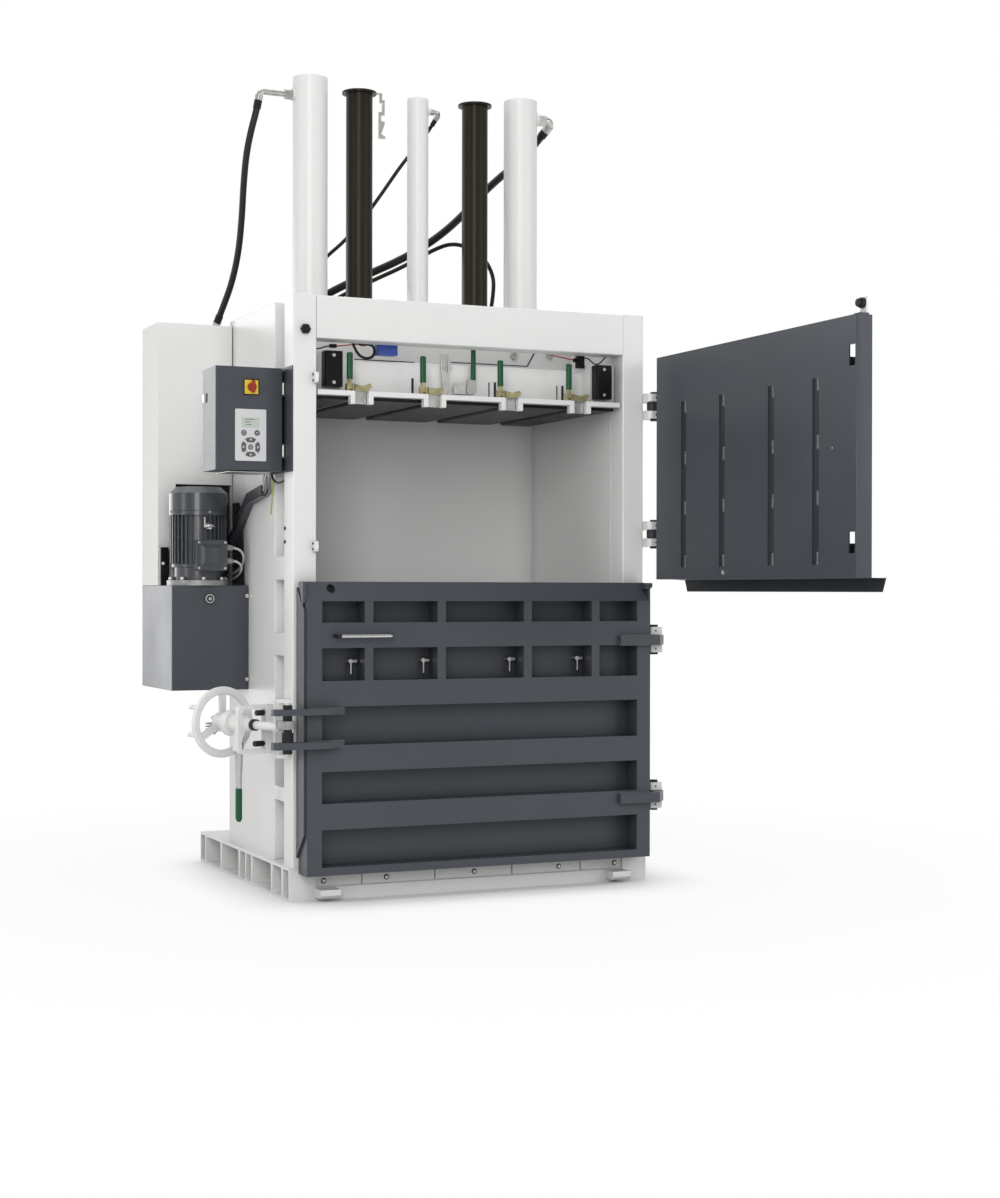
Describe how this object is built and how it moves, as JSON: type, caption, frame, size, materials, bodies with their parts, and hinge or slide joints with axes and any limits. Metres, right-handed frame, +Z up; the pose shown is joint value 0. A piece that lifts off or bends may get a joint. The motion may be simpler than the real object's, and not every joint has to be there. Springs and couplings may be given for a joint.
{
  "type": "recycling baler",
  "caption": "Vertical baling press with a hinged lower door, a hinged loading flap, a hydraulic ram on guide tubes, a handwheel latch and a side-mounted power unit.",
  "frame": {"origin": "on the floor under the plane of the press cylinders, midway between the side walls", "axes": "+X to the right of someone facing the doors, +Y to the back, +Z up"},
  "size_m": [1.7825, 2.478, 2.985],
  "materials": {
    "white_paint": "smooth semi-gloss powder coat, warm white",
    "gray_paint": "semi-gloss powder coat, dark blue-grey",
    "olive_paint": "semi-gloss dark olive-brown",
    "motor_paint": "semi-gloss grey-blue machine enamel",
    "bare_steel": "zinc-plated or ground steel",
    "black_steel": "blackened fasteners",
    "zinc": "bright zinc plating",
    "black_rubber": "matte hose rubber",
    "green_grip": "smooth green moulded grip",
    "black_plastic": "matte black plastic",
    "keypad_foil": "printed light foil",
    "red_plastic": "glossy red"
  },
  "bodies": {
    "frame": {"back_wall": "white_paint", "base_frame": "white_paint", "cabinet_tray": "gray_paint", "cable_duct": "motor_paint", "flap_catches": "white_paint", "frame_bolts": "zinc", "front_columns": "white_paint", "front_crossbeam": "white_paint", "guide_bushes": "bare_steel", "hinge_lugs": "white_paint", "hinge_pins": "zinc", "hose_center": "black_rubber", "hose_fittings": "zinc", "hose_left": "black_rubber", "hose_loop": "black_rubber", "hose_right": "black_rubber", "latch_keeper": "white_paint", "middle_cylinder": "white_paint", "motor_cowl": "motor_paint", "motor_housing": "motor_paint", "outer_cylinders": "white_paint", "power_cover": "white_paint", "power_tank": "gray_paint", "press_head": "white_paint", "side_walls": "white_paint", "tank_fittings": "zinc", "terminal_box": "motor_paint", "valve_block": "black_plastic"},
    "ram": {"piston_rods": "bare_steel", "guide_tubes": "olive_paint", "cam_plate": "zinc", "platen": "white_paint", "platen_pads": "gray_paint", "ram_beam": "white_paint", "slide_blocks": "black_plastic", "clamp_jaws": "zinc", "release_linkage": "zinc"},
    "strap_lever_1": {"strap_lever_1": "green_grip"},
    "strap_lever_2": {"strap_lever_2": "green_grip"},
    "strap_lever_3": {"strap_lever_3": "green_grip"},
    "strap_lever_4": {"strap_lever_4": "green_grip"},
    "release_lever": {"release_lever": "green_grip"},
    "door": {"lower_door": "gray_paint", "door_handle": "gray_paint", "wire_holders": "zinc", "door_arms": "gray_paint", "latch_bolt": "black_steel"},
    "latch": {"latch_spindle": "white_paint", "latch_yoke": "white_paint", "latch_fittings": "black_steel"},
    "handwheel": {"handwheel": "white_paint"},
    "latch_lever": {"latch_lever": "green_grip"},
    "flap": {"flap_panel": "gray_paint", "flap_arms": "gray_paint", "flap_buffer": "black_rubber", "flap_latches": "black_steel"},
    "cabinet_cover": {"cabinet_cover": "gray_paint", "keypad": "keypad_foil"},
    "switch_knob": {"switch_knob": "red_plastic"},
    "motor_rotor": {"motor_rotor": "bare_steel"}
  },
  "joints": [
    {"name": "ram_slide", "type": "slide", "parent": "frame", "child": "ram", "axis": [0, 0, 1], "range_m": [-0.83, 0]},
    {"name": "strap_lever_1_hinge", "type": "hinge", "parent": "ram", "child": "strap_lever_1", "pos_m": [-0.465, -0.53, 1.778], "axis": [1, 0, 0], "range_deg": [0, 85]},
    {"name": "strap_lever_2_hinge", "type": "hinge", "parent": "ram", "child": "strap_lever_2", "pos_m": [-0.19, -0.53, 1.778], "axis": [1, 0, 0], "range_deg": [0, 85]},
    {"name": "strap_lever_3_hinge", "type": "hinge", "parent": "ram", "child": "strap_lever_3", "pos_m": [0.11, -0.53, 1.778], "axis": [1, 0, 0], "range_deg": [0, 85]},
    {"name": "strap_lever_4_hinge", "type": "hinge", "parent": "ram", "child": "strap_lever_4", "pos_m": [0.385, -0.53, 1.778], "axis": [1, 0, 0], "range_deg": [0, 85]},
    {"name": "release_lever_hinge", "type": "hinge", "parent": "ram", "child": "release_lever", "pos_m": [0.028, -0.446, 1.797], "axis": [0, 1, 0], "range_deg": [0, 70]},
    {"name": "door_hinge", "type": "hinge", "parent": "frame", "child": "door", "pos_m": [0.713, -0.58, 0.6], "axis": [0, 0, 1], "range_deg": [0, 90]},
    {"name": "latch_swing", "type": "hinge", "parent": "door", "child": "latch", "pos_m": [-0.735, -0.67, 0.607], "axis": [0, 0, 1], "range_deg": [-6, 70]},
    {"name": "handwheel_spin", "type": "hinge", "parent": "latch", "child": "handwheel", "pos_m": [-0.8549, -0.30099, 0.607], "axis": [-0.309, 0.9511, 0], "continuous": true},
    {"name": "latch_lever_hinge", "type": "hinge", "parent": "latch", "child": "latch_lever", "pos_m": [-0.82369, -0.39705, 0.538], "axis": [0.9511, 0.309, 0], "range_deg": [-30, 40]},
    {"name": "flap_hinge", "type": "hinge", "parent": "frame", "child": "flap", "pos_m": [0.713, -0.58, 1.5], "axis": [0, 0, 1], "range_deg": [-90, 20]},
    {"name": "cabinet_hinge", "type": "hinge", "parent": "frame", "child": "cabinet_cover", "pos_m": [-0.69, -0.4765, 1.66], "axis": [0, 0, 1], "range_deg": [0, 85]},
    {"name": "switch_turn", "type": "hinge", "parent": "cabinet_cover", "child": "switch_knob", "pos_m": [-0.806, -0.49, 1.768], "axis": [0, -1, 0], "range_deg": [0, 90]},
    {"name": "motor_spin", "type": "hinge", "parent": "frame", "child": "motor_rotor", "pos_m": [-0.832, 0.1, 1.2], "axis": [0, 0, 1], "continuous": true}
  ]
}
